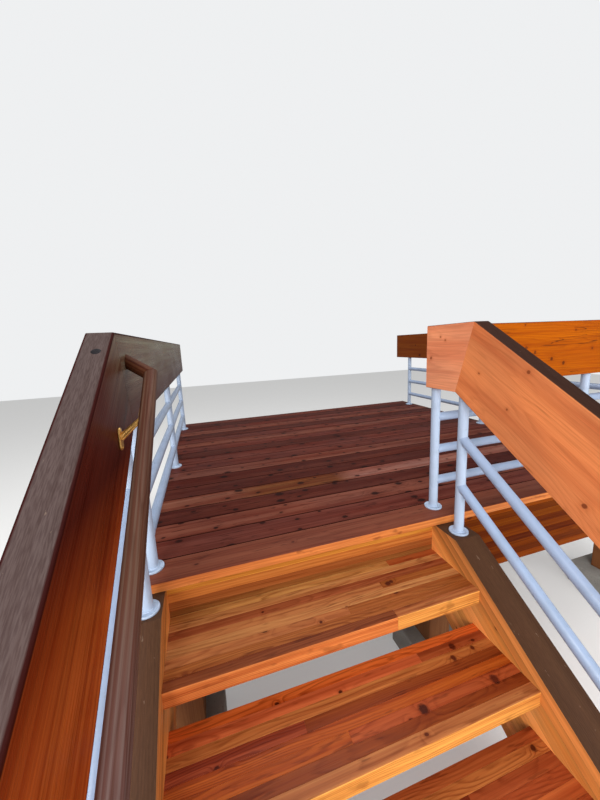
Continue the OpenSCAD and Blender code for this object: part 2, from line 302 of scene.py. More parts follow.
def timber(name, spacing=0.005, ring=0.6, bands=0.5, band_w=0.038, clouds=0.25, threads=0.3, dashes=0.0,
           knots=0.4, knot_size=(0.005, 0.014), knot_codes=("32140c", "5c2a14"), cell=(0.40, 0.10),
           own_knots=(), cracks=0.0, aged="4a3a32", wear=0.0, edge_light="5a2a18", edge_light_share=0.0, rough=0.5,
           shine=0.2, wander=0.03):
    """Stained softwood. The grain attribute runs along, across and through each board from its pith.
    spacing lies between two rings, and band_w is a band's width. ring, bands, clouds, threads, dashes,
    cracks, wear and the share of the edge colour are how strongly each shows. The edge colour, painted
    on the rounded edges, is painted shade where it is dark and a painted highlight where it is pale.
    knots is the share of cells with a knot."""
    g = Graph(name)
    along, across, through = g.split(g.attribute("grain", "Vector"))
    aged_face, end_face, lot = g.split(g.attribute("mood", "Vector"))
    edge = g.attribute("edge", "Fac")
    tint = g.attribute("tint", "Color")

    def figure(a, c, detail=2.0, t=None, output=0):
        """Noise over the grain, scaled by a along it, by c across it and by t, or else c, through it."""
        vector = g.vector(g.times(along, a), g.times(across, c), g.times(through, c if t is None else t))
        return g.noise(vector, detail=detail, output=output)

    # Growth rings round a wandering pith
    drift_a, drift_b, _ = g.split(figure(1.2, 5.0, output="Color"))
    side = g.sway(across, drift_a, wander * 2)
    deep = g.sway(through, drift_b, wander * 2)
    radius = g.plus(g.length(side, deep), figure(7.0, 45.0), 0.004)
    radius = g.plus(radius, figure(0.8, 17.0, 3.0), spacing * 3)

    # Knots at scattered places and at chosen ones, with the rings bent round them
    cell_a = g.math("DIVIDE", along, cell[0])
    cell_c = g.math("DIVIDE", across, cell[1])
    inputs = {"Vector": g.vector(cell_a, cell_c, 0.0), "Scale": 1.0, "Randomness": 0.85}
    cells = g.node("ShaderNodeTexVoronoi", inputs, voronoi_dimensions="2D")
    centre_a, centre_c, _ = g.split(cells.outputs["Position"])
    rand_size, rand_has, rand_tone = g.split(cells.outputs["Color"])
    off_a = g.times(g.math("SUBTRACT", cell_a, centre_a), cell[0] * 0.7)
    off_c = g.times(g.math("SUBTRACT", cell_c, centre_c), cell[1])
    size = g.span(g.times(rand_size, rand_size), 0.0, 1.0, *knot_size)
    absent = g.times(g.math("GREATER_THAN", rand_has, knots), 100.0)
    apart = g.math("ADD", g.math("DIVIDE", g.length(off_a, off_c), size), absent)
    place = g.place()
    for x, y, z, r in own_knots:
        inputs = {0: place, 1: Vector((x, y, z)) - SHIFT}
        gap = g.node("ShaderNodeVectorMath", inputs, operation="DISTANCE").outputs["Value"]
        apart = g.math("MINIMUM", apart, g.math("DIVIDE", gap, r))
    apart = g.sway(apart, figure(70.0, 110.0), 0.9)
    core = g.span(apart, 1.05, 0.75, smooth=True)
    rim = g.span(g.math("ABSOLUTE", g.math("SUBTRACT", apart, 1.0)), 0.3, 0.0)
    halo = g.math("EXPONENT", g.times(g.times(apart, apart), -0.16))
    radius = g.plus(radius, halo, knot_size[1] * 1.1)
    radius = g.node("ShaderNodeMix", {0: core, 2: radius, 3: g.times(apart, 0.014)}).outputs[0]
    phase = g.math("FRACT", g.math("DIVIDE", radius, spacing))
    late = g.ramp(phase, [(0.0, 0.35), (0.10, 0.0), (0.55, 0.18), (0.86, 1.0), (0.95, 0.9), (1.0, 0.35)])
    late = g.times(late, g.span(figure(1.7, 24.0, 3.0), 0.36, 0.62, 0.15, 1.0))

    # Fine fibres, broad bands, threads, clouds of stain and short dark dashes
    hair = figure(9.0, 520.0, 1.0)
    band = g.span(figure(0.9, 1 / band_w, 3.0), 0.36, 0.64, smooth=True)
    thread = g.span(figure(2.2, 110.0, 3.0), 0.45, 0.68)
    cloud = g.span(figure(2.3, 7.0, 3.0), 0.35, 0.65)
    dash = g.span(figure(11.0, 75.0, t=20.0), 0.62, 0.70)

    # Colour from the board's own tint
    colour = g.mix(1.0, tint, (1.16, 1.14, 1.06), "MULTIPLY")
    colour = g.toned(colour, DARKER, late, ring, tint)
    colour = g.toned(colour, REDDER, band, bands)
    colour = g.toned(colour, DARKER, thread, threads)
    colour = g.toned(colour, PALER, cloud, clouds)
    shade = g.span(hair, 0.25, 0.75, 0.89, 1.08)
    colour = g.mix(1.0, colour, g.vector(shade, shade, shade), "MULTIPLY")
    colour = g.toned(colour, (0.34, 0.26, 0.24), dash, dashes)
    colour = g.toned(colour, (0.66, 0.46, 0.38), halo, 0.45)
    knot_colour = g.mix(rand_tone, linear(knot_codes[0]), linear(knot_codes[1]))
    knot_colour = g.toned(knot_colour, DARKER, late, 0.6)
    colour = g.mix(g.times(core, 0.9), colour, knot_colour)
    colour = g.toned(colour, DARKER, rim, 0.5, knot_colour)
    colour = g.toned(colour, (0.5, 0.42, 0.38), end_face, 0.5)

    # Worn stain on the faces that look up
    worn = linear(aged)
    stain = g.toned(worn, (0.72, 0.68, 0.68), g.span(figure(42.0, 400.0), 0.40, 0.62))
    stain = g.toned(stain, (1.25, 1.2, 1.16), cloud, 0.4)
    stain = g.toned(stain, (0.66, 0.6, 0.58), late, 0.6)
    chip = g.math("GREATER_THAN", figure(30.0, 90.0, 4.0), 0.72)
    stain = g.mix(g.times(chip, 0.4), stain, g.mix(0.6, worn, linear("a08a78")))
    worn_share = g.times(aged_face, wear)
    colour = g.mix(worn_share, colour, stain)
    # Painted shade on the rounded edges where the edge colour is dark, a painted highlight where it is
    # pale
    edge_light_mask = g.times(edge, edge_light_share)
    colour = g.mix(edge_light_mask, colour, linear(edge_light))

    # Checks along the grain, in some places only
    check = g.span(g.math("ABSOLUTE", g.math("SUBTRACT", figure(1.3, 30.0), 0.5)), 0.008, 0.001)
    where = g.noise(g.vector(g.times(along, 2.6), g.times(across, 13.0), lot), detail=1.0)
    check = g.times(check, g.span(where, 1.0 - 0.5 * cracks, 1.04 - 0.5 * cracks))
    check = g.times(check, 1.0 if cracks else 0.0)
    colour = g.mix(g.times(check, 0.75), colour, linear("2a120a"))

    gloss = g.sway(g.sway(rough, hair, 0.16), cloud, 0.12)
    gloss = g.plus(g.plus(gloss, worn_share, 0.30), edge_light_mask, 0.30)
    height = g.plus(g.times(hair, 0.5), late, -0.45)
    height = g.plus(g.plus(height, check, -2.0), rim, -0.5)
    return g.finished(colour, gloss, height, 0.0004, {"Specular IOR Level": shine})


def speckled(name, code, layers, gloss, ridges, relief, levels=()):
    """One colour under layers of specks. A layer is its noise's scale, detail and roughness, the range
    of noise over which it comes up, its share and its code. gloss is the roughness and what the first
    layer adds. ridges are the scales and shares of the noises in the relief."""
    g = Graph(name)
    place = g.place()
    colour, masks = linear(code), []
    for scale, detail, roughness, low, high, share, speck in layers:
        masks.append(g.span(g.noise(place, scale, detail, roughness), low, high))
        colour = g.mix(g.times(masks[-1], share), colour, linear(speck))
    height = 0.0
    for scale, share in ridges:
        height = g.plus(height, g.noise(place, scale), share)
    return g.finished(colour, g.plus(gloss[0], masks[0], gloss[1]), height, relief, levels)


def paint(name, code, dust):
    """Brushed paint on steel, a little dusty."""
    layers = [(9.0, 4.0, 0.6, 0.48, 0.75, 0.5, dust), (70.0, 3.0, 0.7, 0.63, 0.72, 0.35, "8d8f93")]
    coat = {"Coat Weight": 0.25, "Coat Roughness": 0.2}
    return speckled(name, code, layers, (0.34, 0.2), [(260.0, 1.0), (35.0, 0.8)], 0.0003, coat)


def concrete(name):
    """Cast concrete with sand and pores."""
    g = Graph(name)
    place = g.place()
    mottle = g.span(g.noise(place, 6.0, 6.0, 0.6), 0.3, 0.7)
    sand = g.noise(place, 240.0, 3.0, 0.7)
    cells = g.node("ShaderNodeTexVoronoi", {"Vector": place, "Scale": 85.0})
    some = g.math("GREATER_THAN", g.split(cells.outputs["Color"])[0], 0.72)
    pore = g.times(g.span(cells.outputs["Distance"], 0.20, 0.08), some)
    colour = g.mix(mottle, linear("8f8e89"), linear("b4b1aa"))
    colour = g.mix(g.span(sand, 0.3, 0.7, 0.0, 0.35), colour, linear("77756f"))
    colour = g.mix(g.times(pore, 0.7), colour, linear("4c4a46"))
    height = g.plus(g.plus(mottle, sand, 0.6), pore, -1.5)
    return g.finished(colour, g.span(mottle, 0.0, 1.0, 0.82, 0.94), height, 0.0012)


# Meshes

# Distance from a skin's capped end to the ring beside it
END_STEP = 0.0015
# Edges with a larger angle between their faces are rounded
SHARP = radians(25)
EASED_STEPS = 6


def clip(outline, point, normal):
    """The part of a convex side view that lies behind a line."""
    kept = []
    for i, a in enumerate(outline):
        b = outline[(i + 1) % len(outline)]
        da, db = ((p[0] - point[0]) * normal[0] + (p[1] - point[1]) * normal[1] for p in (a, b))
        if da <= 0:
            kept.append(a)
        if (da < 0 < db) or (db < 0 < da):
            t = da / (da - db)
            kept.append((a[0] + t * (b[0] - a[0]), a[1] + t * (b[1] - a[1])))
    return kept


def oblong(y_low, y_high, z_low, z_high):
    return [(y_low, z_low), (y_high, z_low), (y_high, z_high), (y_low, z_high)]


def square(x, y, width, z_low, z_high):
    """Side view and two planes of an upright square block round a point."""
    half = width / 2
    return oblong(y - half, y + half, z_low, z_high), x - half, x + half


def eased(y, z, depth, thick):
    """Side view of a plank with its upper front edge rounded."""
    r = EDGE_R
    arc = [(y + r - r * sin(a), z - r + r * cos(a))
           for a in (pi / 2 * i / EASED_STEPS for i in range(EASED_STEPS + 1))]
    return [(y, z - thick), (y + depth, z - thick), (y + depth, z)] + arc


def circle(centre, u, v, r, count):
    return [centre + u * r * cos(t) + v * r * sin(t)
            for t in (2 * pi * i / count for i in range(count))]


def beside(ring, other):
    """Ring a little way from one ring towards another."""
    share = [min(END_STEP / max((q - p).length, END_STEP), 0.3) for p, q in zip(ring, other)]
    return [p + (q - p) * s for p, q, s in zip(ring, other, share)]


def soften(bm, bevel, segments, along=None, fresh=True):
    """Rounds the sharp edges, or only those that run along a direction, and shades the new faces smooth.
    fresh is off for a second bevel, whose faces stay flat and keep the tone of the board."""
    if fresh:
        for f in bm.faces:
            f.smooth = False
    sharp = [e for e in bm.edges if e.calc_face_angle(0) > SHARP]
    if along is not None:
        sharp = [e for e in sharp if abs((e.verts[1].co - e.verts[0].co).normalized().dot(along)) > 0.99]
    made = bmesh.ops.bevel(bm, geom=sharp, offset=bevel, segments=segments, profile=0.5,
                           affect="EDGES", clamp_overlap=True)
    for f in made["faces"]:
        f.smooth = fresh


class Piece:
    """Gathers solids with their grain and makes one object of them."""

    def __init__(self, name, seed=0):
        self.name = name
        self.draw = random.Random(seed)
        self.verts, self.faces, self.smooth = [], [], []
        self.grain, self.tint, self.mood, self.edge = [], [], [], []

    def take(self, bm, along=Y, across=X, tint=(0.5, 0.5, 0.5), smooth=None, faces_tint=(),
             wide_edge=False):
        """Adds a solid. Its pith is at a random distance across and through the board.
        tint is a colour, or a function that gives one for a point. The faces tint gives another one, as
        painted light, to the faces that look one way. A wide edge lets the painted shade of an edge
        start on the flat faces beside it."""
        bm.normal_update()
        through = along.cross(across)
        count = len(self.verts)
        low = Vector(map(min, *(v.co for v in bm.verts)))
        high = Vector(map(max, *(v.co for v in bm.verts)))
        middle = (low + high) / 2
        start = self.draw.uniform(0, 60)
        pith_c = self.draw.uniform(-0.04, 0.04)
        pith_t = self.draw.choice((-1, 1)) * self.draw.uniform(0.03, 0.11)
        lot = self.draw.uniform(0, 40)
        rule = any if wide_edge else all
        for v in bm.verts:
            p = v.co - middle
            normals = [f.normal for f in v.link_faces]
            aged = between(max(n.z for n in normals), 0.62, 0.82)
            end = 1.0 if max(abs(n.dot(along)) for n in normals) > 0.8 else 0.0
            colour = tint(v.co) if callable(tint) else tint
            # Painted light: another tint for the faces that look one way
            for direction, other in faces_tint:
                if max(n.dot(direction) for n in normals) > 0.8:
                    colour = other
            self.verts.append(tuple(v.co - SHIFT))
            self.grain.append((p.dot(along) + start, p.dot(across) + pith_c, p.dot(through) + pith_t))
            self.mood.append((aged, end, lot))
            self.edge.append((1.0 if rule(f.smooth for f in v.link_faces) else 0.0,))
            self.tint.append((*colour, 1.0))
        bm.verts.index_update()
        for f in bm.faces:
            self.faces.append([count + v.index for v in f.verts])
            self.smooth.append(f.smooth if smooth is None else smooth)
        bm.free()

    def board(self, outline, x_low, x_high, along=X, across=Y, bevel=0.0015, segments=2, end_bevel=None,
              cuts=(), **rest):
        """Solid between two planes across x, from its side view as (y, z), with rounded edges.
        end_bevel is the bevel across the grain, where that differs. cuts are planes, as a point and
        a normal, where the mesh gets points for a changing tint."""
        bm = bmesh.new()
        ends = [[bm.verts.new((x, y, z)) for y, z in outline] for x in (x_low, x_high)]
        bm.faces.new(ends[0])
        bm.faces.new(ends[1][::-1])
        for i in range(len(outline)):
            j = (i + 1) % len(outline)
            bm.faces.new((ends[0][i], ends[1][i], ends[1][j], ends[0][j]))
        bmesh.ops.recalc_face_normals(bm, faces=bm.faces)
        if end_bevel is None:
            soften(bm, bevel, segments)
        else:
            soften(bm, bevel, segments, along)
            soften(bm, end_bevel, 1, fresh=False)
        for point, normal in cuts:
            whole = bm.verts[:] + bm.edges[:] + bm.faces[:]
            bmesh.ops.bisect_plane(bm, geom=whole, plane_co=point, plane_no=normal)
        self.take(bm, along, across, **rest)

    def skin(self, rings, closed=False, **rest):
        """Solid from rings of points. closed joins the last ring to the first one. Otherwise the ends
        are capped, and a ring close to each keeps the shading even along the skin."""
        bm = bmesh.new()
        if not closed:
            low, high = beside(rings[0], rings[1]), beside(rings[-1], rings[-2])
            rings = [rings[0], low, *rings[1:-1], high, rings[-1]]
        loops = [[bm.verts.new(p) for p in ring] for ring in rings]
        pairs = list(zip(loops, loops[1:]))
        if closed:
            pairs.append((loops[-1], loops[0]))
        for a, b in pairs:
            for i in range(len(a)):
                j = (i + 1) % len(a)
                bm.faces.new((a[i], a[j], b[j], b[i])).smooth = True
        if not closed:
            bm.faces.new(loops[0][::-1]).smooth = False
            bm.faces.new(loops[-1]).smooth = False
        bmesh.ops.recalc_face_normals(bm, faces=bm.faces)
        self.take(bm, **rest)

    def lathe(self, origin, axis, profile, count):
        """Turned solid. profile is (radius, height) from the bottom to the top along axis."""
        u = axis.orthogonal().normalized()
        v = axis.cross(u)
        self.skin([circle(origin + axis * h, u, v, r, count) for r, h in profile])

    def make(self, material, slot=None):
        """Makes the object that replaces the CAD node of this name, or without a slot one beside it."""
        mesh = bpy.data.meshes.new(self.name)
        mesh.from_pydata(self.verts, [], self.faces)
        mesh.polygons.foreach_set("use_smooth", self.smooth)
        for name, kind, values, key in (
                ("grain", "FLOAT_VECTOR", self.grain, "vector"),
                ("tint", "FLOAT_COLOR", self.tint, "color"),
                ("mood", "FLOAT_VECTOR", self.mood, "vector"),
                ("edge", "FLOAT", self.edge, "value")):
            layer = mesh.attributes.new(name, kind, "POINT")
            layer.data.foreach_set(key, [n for value in values for n in value])
        mesh.materials.append(material)
        mesh.update()
        made = placed(self.name + "_look", mesh)
        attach(made, "root")
        if slot:
            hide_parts(self.name)


# Materials

# Knots that stand out in the photograph: place in the deck's own frame and radius
TREAD_KNOTS = [
    (-0.26, -0.07, 0.712, 0.005), (-0.06, -0.19, 0.712, 0.006), (0.30, -0.10, 0.712, 0.008),
    (0.45, -0.30, 0.534, 0.012), (0.42, -0.34, 0.534, 0.010), (0.52, -0.33, 0.534, 0.008),
    (0.20, -0.45, 0.534, 0.016), (0.50, -0.45, 0.534, 0.015), (0.56, -0.56, 0.356, 0.009)]
RAIL_KNOTS = [
    (0.64, 0.10, 1.654, 0.006), (0.64, 0.04, 1.750, 0.004), (0.64, 0.01, 1.735, 0.004),
    (0.64, -0.38, 1.620, 0.006), (0.64, -0.31, 1.480, 0.004), (0.64, -0.58, 1.240, 0.007)]
GUARD_KNOTS = [
    (1.37, 0.065, 1.610, 0.009), (1.46, 0.065, 1.583, 0.009), (1.25, 0.065, 1.650, 0.007),
    (1.17, 0.065, 1.790, 0.004), (1.67, 0.065, 1.652, 0.006), (1.53, 0.065, 1.755, 0.005)]
TREAD_WOOD = timber(
    "tread_wood", spacing=0.0070, ring=0.8, bands=0.6, band_w=0.020, threads=0.6, dashes=0.45,
    knots=0.18, knot_size=(0.005, 0.011), knot_codes=("300e08", "521c0e"), cell=(0.42, 0.09),
    own_knots=TREAD_KNOTS, rough=0.34, shine=0.08, wander=0.05)
# The deck's dark edge colour is painted shade in the seams between boards
DECK_WOOD = timber(
    "deck_wood", spacing=0.0070, ring=0.55, bands=1.0, band_w=0.048, clouds=0.8, threads=0.7, dashes=0.9,
    knots=0.9, knot_size=(0.006, 0.017), knot_codes=("140504", "260a06"), cell=(0.20, 0.11),
    edge_light="240c08", edge_light_share=0.85, rough=0.55, shine=0.06)
NOSING_WOOD = timber(
    "nosing_wood", spacing=0.0080, ring=0.45, bands=0.6, band_w=0.030, clouds=0.6, threads=0.5,
    dashes=0.6, knots=0.2, knot_size=(0.005, 0.010), knot_codes=("2c100a", "4a1c10"), cell=(0.40, 0.12),
    rough=0.45, shine=0.1)
BEAM_WOOD = timber(
    "beam_wood", spacing=0.0060, ring=0.5, band_w=0.014, threads=0.6, knots=0.12, rough=0.42, shine=0.02)
JOIST_WOOD = timber("joist_wood", spacing=0.006, ring=0.4, bands=0.3, knots=0.3, rough=0.7)
STRINGER_WOOD = timber(
    "stringer_wood", spacing=0.008, ring=0.25, bands=0.3, band_w=0.030, knots=0.10, aged="3a2416",
    wear=0.97, rough=0.34)
# The dark edge colour of the left rails is painted shade along their rounded edges
DARK_RAIL_WOOD = timber(
    "dark_rail_wood", spacing=0.008, ring=0.25, bands=0.8, band_w=0.018, threads=0.5, knots=0.0,
    cracks=0.15, aged="514543", wear=0.97, edge_light="2e0c0a", edge_light_share=0.95, rough=0.30, shine=0.03)
# The pale edge colour of the right rails is a painted highlight along their rounded edges
PALE_RAIL_WOOD = timber(
    "pale_rail_wood", spacing=0.016, ring=0.26, bands=0.60, band_w=0.060, clouds=1.0, threads=0.18,
    knots=0.05, knot_size=(0.003, 0.006), knot_codes=("7a3a20", "94512c"), cell=(0.20, 0.13),
    own_knots=RAIL_KNOTS, cracks=0.70, aged="271914", wear=0.97, edge_light="f0a88a", edge_light_share=0.5,
    rough=0.55, shine=0.08, wander=0.14)
GOLDEN_RAIL_WOOD = timber(
    "golden_rail_wood", spacing=0.014, ring=0.45, bands=0.45, band_w=0.035, clouds=0.3, threads=0.45,
    knots=0.10, knot_size=(0.004, 0.009), knot_codes=("4a1e08", "6e340e"), cell=(0.26, 0.12),
    own_knots=GUARD_KNOTS, cracks=1.0, aged="271914", wear=0.95, rough=0.5, shine=0.05, wander=0.06)
BROWN_RAIL_WOOD = timber(
    "brown_rail_wood", spacing=0.012, ring=0.35, band_w=0.045, knots=0.30,
    knot_size=(0.006, 0.012), cell=(0.30, 0.12), cracks=0.5, aged="4a2c20", wear=0.9, shine=0.08)
GRIP_WOOD = timber(
    "handrail_wood", spacing=0.004, ring=0.5, bands=1.0, band_w=0.006, clouds=0.6, threads=0.9,
    knots=0.0, rough=0.42, shine=0.06)
PIPE_PAINT = paint("pipe_paint", "a9b9d0", "8a9aad")
RAIL_PIPE_PAINT = paint("rail_pipe_paint", "94a5c1", "7c8ca1")
CONCRETE = concrete("concrete")
BRASS = speckled(
    "bracket_brass", "dcae62",
    [(42.0, 4.0, 0.6, 0.42, 0.70, 0.65, "94703a"), (210.0, 3.0, 0.5, 0.60, 0.72, 0.5, "4e381c")],
    (0.3, 0.25), [(320.0, 1.0)], 0.0002, {"Metallic": 0.7})
# Near-black disc for the shade inside a bolt hole: painted shade
HOLE_SHADE = speckled("hole_shade", "1c1a1d", [(180.0, 3.0, 0.5, 0.5, 0.8, 0.4, "4a4244")], (0.55, 0.2),
                [(400.0, 1.0)], 0.0002, {"Specular IOR Level": 0.1})

# Deck

# Tint of each board behind the nosing, from front to back. The one called o is golden
DECK_TINTS = {"r": "5e3029", "b": "6a3e34", "d": "4c231c", "e": "50241b"}
DECK_ORDER = "rbdodebrrdrbrdbrdr"
# Width of the painted shade along each edge of a board, in the seams between boards
SEAM_SHADE = 0.004
# Places along the golden board between which its tint changes, and its tints from left to right
GOLDEN_XS = (-0.30, -0.12, 0.35, 0.50)
GOLDEN_TINTS = ("6e453a", "62391f", "86605a")


def golden_tint(p):
    """Golden in the middle, and paler towards both ends of the board."""
    side = 0 if p.x < 0 else 1
    share = between(p.x, *GOLDEN_XS[2 * side:2 * side + 2])
    return fade(GOLDEN_TINTS[side], GOLDEN_TINTS[side + 1], share)


piece = Piece("deck_boards", 11)
for i, code in enumerate(DECK_ORDER, 1):
    y = i * BOARD_PITCH
    cuts = [((0, q, 0), Y) for q in (y + SEAM_SHADE, y + BOARD_W - SEAM_SHADE)] + [((q, 0, 0), X) for q in GOLDEN_XS]
    tint = golden_tint if code == "o" else jitter(piece.draw, DECK_TINTS[code], 0.06)
    piece.board(oblong(y, y + BOARD_W, FRAME_TOP, DECK_Z), DECK_LEFT, DECK_RIGHT, bevel=0.003,
                segments=4, end_bevel=0.002, wide_edge=True, tint=tint, cuts=cuts)
piece.make(DECK_WOOD, "deck_wood")

piece = Piece("nosing_board", 12)
# The front face gets a lighter orange than the top, as painted light
piece.board(eased(0, DECK_Z, BOARD_W, BOARD_T), DECK_LEFT, DECK_RIGHT, bevel=0.002,
            tint=linear("6c3b2c"), faces_tint=[(-Y, linear("cc8046"))])
piece.make(NOSING_WOOD, "nosing_wood")

# Laminated beams, with the tints of their layers from the bottom to the top
BEAM_TINTS = "84512c a26631 91582b a06430 8a552a 88562c 995c30 b87036 c88638".split()
# Darker layers for the part right of the flight, as painted shade
SHADED_BEAM_TINTS = "7c3a08 5c2604 723404 5a2404 723604 5c2604 7c3e04 662e04 864408".split()


def layered(piece, y_low, y_high, x_low, x_high, along, tints=BEAM_TINTS):
    step = BEAM_H / len(tints)
    for i, code in enumerate(tints):
        z = BEAM_BOTTOM + i * step
        piece.board(oblong(y_low, y_high, z, z + step), x_low, x_high, along=along, across=Z,
                    bevel=0.0005, segments=1, tint=jitter(piece.draw, code, 0.08))


# The front beam is darker beside the flight, a painted shade, with a joint behind the right stringer
piece = Piece("front_rim_beam", 21)
layered(piece, NOSING, BEAM_BACK, DECK_LEFT, STRINGER_X, X)
layered(piece, NOSING, BEAM_BACK, STRINGER_X, DECK_RIGHT, X, SHADED_BEAM_TINTS)
piece.make(BEAM_WOOD, "beam_wood")
piece = Piece("rear_rim_beam", 22)
layered(piece, REAR_BEAM_Y, DECK_DEPTH, DECK_LEFT, DECK_RIGHT, X)
piece.make(BEAM_WOOD, "beam_wood")
for name, seed, x in (("left_rim_beam", 23, DECK_LEFT), ("right_rim_beam", 24, DECK_RIGHT - BEAM_T)):
    piece = Piece(name, seed)
    layered(piece, BEAM_BACK, REAR_BEAM_Y, x, x + BEAM_T, Y)
    piece.make(BEAM_WOOD, "beam_wood")

piece = Piece("floor_joists", 31)
JOIST_PITCH = (DECK_W - 2 * BEAM_T) / (JOIST_COUNT + 1)
for i in range(1, JOIST_COUNT + 1):
    x = DECK_LEFT + BEAM_T + i * JOIST_PITCH - JOIST_T / 2
    view = oblong(BEAM_BACK, REAR_BEAM_Y, FRAME_TOP - JOIST_H, FRAME_TOP)
    piece.board(view, x, x + JOIST_T, along=Y, across=Z, tint=jitter(piece.draw, "8a6040"))
piece.make(JOIST_WOOD, "joist_wood")

SUPPORT_XS = [DECK_LEFT + PIER_W / 2, STRINGER_X, DECK_RIGHT - PIER_W / 2]
piece = Piece("support_posts", 32)
for x in SUPPORT_XS:
    for y in (NOSING + BEAM_T / 2, DECK_DEPTH - BEAM_T / 2):
        piece.board(*square(x, y, PROP_W, PIER_H, BEAM_BOTTOM), along=Z, across=X, bevel=0.004,
                    tint=jitter(piece.draw, "7e5334"))
piece.make(JOIST_WOOD, "joist_wood")

piece = Piece("pier_blocks", 33)
for x in SUPPORT_XS:
    for y in (NOSING + BEAM_T / 2, DECK_DEPTH - PIER_W / 2):
        piece.board(*square(x, y, PIER_W, 0, PIER_H), bevel=0.010)
piece.make(CONCRETE, "concrete")

# Flight

STRINGER_TINTS = ("f09e58", "e6944e", "d48c48", "dc9450")
STRINGER_LAYERS = 10
# Layers over the sloped edge that only the seat has
SEAT_LAYERS = 3
STRINGER_BOTTOM = FRAME_TOP - STRINGER_DROP
stringer_view = [
    (NOSING, FRAME_TOP), (SEAT_Y, FRAME_TOP), (FOOT_Y, stringer_top(FOOT_Y)), (FOOT_Y, 0),
    (SEAT_Y - STRINGER_BOTTOM / SLOPE, 0), (NOSING, STRINGER_BOTTOM + (NOSING - SEAT_Y) * SLOPE)]
for name, seed, x in (("left_stringer", 41, -STRINGER_X), ("right_stringer", 42, STRINGER_X)):
    piece = Piece(name, seed)
    for i in range(-SEAT_LAYERS, STRINGER_LAYERS):
        # Layers run along the slope, counted down from the sloped edge
        low = (SEAT_Y, FRAME_TOP - STRINGER_DROP * (i + 1) / STRINGER_LAYERS)
        high = (SEAT_Y, FRAME_TOP - STRINGER_DROP * i / STRINGER_LAYERS)
        view = clip(stringer_view, high, OFF_SLOPE.yz)
        view = clip(view, low, -OFF_SLOPE.yz)
        if len(view) > 2:
            piece.board(view, x - BEAM_T / 2, x + BEAM_T / 2, along=UP_SLOPE, across=OFF_SLOPE,
                        bevel=0.0004, segments=1, tint=jitter(piece.draw, STRINGER_TINTS[i % 4], 0.04))
    piece.make(STRINGER_WOOD, "stringer_wood")

TREAD_TINTS = {
    "o": "a2522a", "g": "a6622e", "r": "883c22", "b": "7b3a18", "y": "a8784a", "d": "964826",
    "l": "d48046", "m": "e0a052", "n": "8c5228", "w": "743c20", "k": "9c623a", "q": "8a4a2c",
    "v": "b5804f", "z": "c89254", "p": "c8663c", "f": "e06c30", "x": "9c4c1a", "j": "b46e3a"}
# Strips of each tread from front to back. A second letter is the tint behind an end joint
TREAD_STRIPS = {
    1: "wk n kn y kn q v zo",
    2: "k b xd x rb j pd f",
    3: "d go rd o d rd oj o",
    4: "o g d gr o g ro g"}
# Share of the tread's width to the left of the joint in a strip, for the treads where it isn't random
TREAD_JOINTS = {1: {0: 0.68, 2: 0.55, 4: 0.7, 7: 0.78}, 2: {2: 0.45, 4: 0.35, 6: 0.74}}
# Tints of each tread's front face, lighter than its top as painted light
LIT_FRONT_CODES = {1: "lm", 2: "m", 3: "g", 4: "o"}
TREAD_RIGHT = STAIR_W / 2 + HOUSING
for i, row in TREAD_STRIPS.items():
    piece = Piece(f"tread_{i}", 50 + i)
    y, z = -i * GOING, DECK_Z - i * RISER
    strips = row.split()
    strip_w = (GOING + NOSING) / len(strips)
    for k, codes in enumerate(strips):
        share = TREAD_JOINTS[i].get(k) if i in TREAD_JOINTS else piece.draw.uniform(0.25, 0.75)
        ends = [-TREAD_RIGHT, TREAD_RIGHT]
        if len(codes) == 2:
            ends.insert(1, 2 * share * TREAD_RIGHT - TREAD_RIGHT)
        y_low = y + k * strip_w
        view = oblong(y_low, y_low + strip_w, z - TREAD_T, z) if k else eased(y, z, strip_w, TREAD_T)
        for n, code in enumerate(codes):
            # The first strip's front face gets the lighter tint, as painted light
            front = [] if k else [(-Y, linear(TREAD_TINTS[LIT_FRONT_CODES[i][n]]))]
            piece.board(view, ends[n], ends[n + 1], bevel=0.0005, segments=1, faces_tint=front,
                        tint=jitter(piece.draw, TREAD_TINTS[code], 0.06))
    piece.make(TREAD_WOOD, "tread_wood")

# Timber rails

RAIL_SEGMENTS = 4
JOINT_BEVEL = 0.0008
stair_rail_view = [
    (-KNEE_OUT, GUARD_TOP), (FOOT_Y, rail_top(FOOT_Y)), (FOOT_Y, rail_top(FOOT_Y) - RAIL_DROP),
    (KNEE_Y, GUARD_BOTTOM)]
# Heights and depths between which the left rails change their tint, with painted light low down and a
# painted reflection high up
DARK_RAIL_ZS = (1.24, 1.30, 1.36, 1.41, 1.47, 1.54, 1.61, 1.68, 1.76)
DARK_RAIL_YS = (-0.35, -0.23, -0.10, 0.0)
# The orange-brown is painted light and the grey-brown a painted reflection
RED_BROWN, BROWN, LIT_ORANGE_BROWN, SHEEN_GREY_BROWN = "4a1c14", "7b3515", "a65022", "767060"
# How far the painted shade on the rounded edges of the left rails goes past those edges
EDGE_SHADE_REACH = 0.003


def level_rail_view(y):
    return [(-KNEE_OUT, GUARD_TOP), (KNEE_Y, GUARD_BOTTOM), (y, GUARD_BOTTOM), (y, GUARD_TOP)]


def dark_rail_tint_and_light(p):
    """Red-brown that turns to orange-brown low down, as painted light, and to grey-brown high up beside
    the deck, as a painted reflection.
    """
    if p.z < 1.36:
        return fade(BROWN, LIT_ORANGE_BROWN, between(p.z, 1.36, 1.24))
    if p.z < 1.5:
        return fade(RED_BROWN, BROWN, between(p.z, 1.47, 1.36))
    return fade(RED_BROWN, SHEEN_GREY_BROWN, between(p.z, 1.54, 1.76) * between(p.y, -0.35, 0.0))


